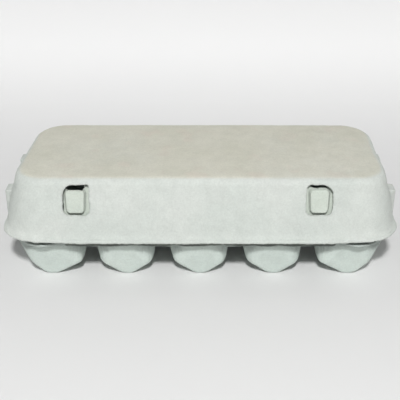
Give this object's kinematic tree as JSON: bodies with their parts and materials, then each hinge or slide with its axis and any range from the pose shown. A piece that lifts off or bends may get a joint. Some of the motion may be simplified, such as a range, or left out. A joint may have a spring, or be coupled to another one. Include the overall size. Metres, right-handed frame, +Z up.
{
  "type": "egg carton",
  "caption": "Moulded pulp egg carton: a tray of hollow egg cups with cone posts, a hinged domed lid with latch windows, and a hinged locking flap with lugs that catch in them.",
  "frame": {"origin": "on the surface the feet stand on, under the middle of the closed carton", "axes": "+Z up; +X along the rows of cups; -Y to the front, where the latch is; +Y to the lid's hinge"},
  "size_m": [0.245, 0.105, 0.0682],
  "materials": {
    "cup_front_1": "matt, fibrous moulded pulp",
    "cup_front_2": "matt, fibrous moulded pulp",
    "cup_front_3": "matt, fibrous moulded pulp",
    "cup_front_4": "matt, fibrous moulded pulp",
    "cup_front_5": "matt, fibrous moulded pulp",
    "cup_rear_1": "matt, fibrous moulded pulp",
    "cup_rear_2": "matt, fibrous moulded pulp",
    "cup_rear_3": "matt, fibrous moulded pulp",
    "cup_rear_4": "matt, fibrous moulded pulp",
    "cup_rear_5": "matt, fibrous moulded pulp",
    "post_1": "matt, fibrous moulded pulp",
    "post_2": "matt, fibrous moulded pulp",
    "post_3": "matt, fibrous moulded pulp",
    "post_4": "matt, fibrous moulded pulp",
    "tray_rim": "matt, fibrous moulded pulp",
    "lid_hinge_strip": "matt, fibrous moulded pulp",
    "flap_hinge_strip": "matt, fibrous moulded pulp",
    "lid_shell": "matt, fibrous moulded pulp",
    "lid_rim": "matt, fibrous moulded pulp",
    "lid_rib_front_left": "matt, fibrous moulded pulp",
    "lid_rib_front_right": "matt, fibrous moulded pulp",
    "lid_rib_rear_left": "matt, fibrous moulded pulp",
    "lid_rib_rear_right": "matt, fibrous moulded pulp",
    "locking_flap": "matt, fibrous moulded pulp",
    "latch_lug_left": "matt, fibrous moulded pulp",
    "latch_lug_right": "matt, fibrous moulded pulp"
  },
  "bodies": {
    "tray": {"cup_front_1": "cup_front_1", "cup_front_2": "cup_front_2", "cup_front_3": "cup_front_3", "cup_front_4": "cup_front_4", "cup_front_5": "cup_front_5", "cup_rear_1": "cup_rear_1", "cup_rear_2": "cup_rear_2", "cup_rear_3": "cup_rear_3", "cup_rear_4": "cup_rear_4", "cup_rear_5": "cup_rear_5", "post_1": "post_1", "post_2": "post_2", "post_3": "post_3", "post_4": "post_4", "tray_rim": "tray_rim", "lid_hinge_strip": "lid_hinge_strip", "flap_hinge_strip": "flap_hinge_strip"},
    "lid": {"lid_shell": "lid_shell", "lid_rim": "lid_rim", "lid_rib_front_left": "lid_rib_front_left", "lid_rib_front_right": "lid_rib_front_right", "lid_rib_rear_left": "lid_rib_rear_left", "lid_rib_rear_right": "lid_rib_rear_right"},
    "flap": {"locking_flap": "locking_flap", "latch_lug_left": "latch_lug_left", "latch_lug_right": "latch_lug_right"}
  },
  "joints": [
    {"name": "lid_hinge", "type": "hinge", "parent": "tray", "child": "lid", "pos_m": [0, 0.0512, 0.0276], "axis": [-1, 0, 0], "range_deg": [0, 136], "deforming": ["latch_lug_left", "latch_lug_right"]},
    {"name": "flap_hinge", "type": "hinge", "parent": "tray", "child": "flap", "pos_m": [0, -0.0497, 0.027], "axis": [-1, 0, 0], "range_deg": [0, 12], "stiffness_Nm_per_rad": 0.02, "springref_deg": -17.19}
  ]
}
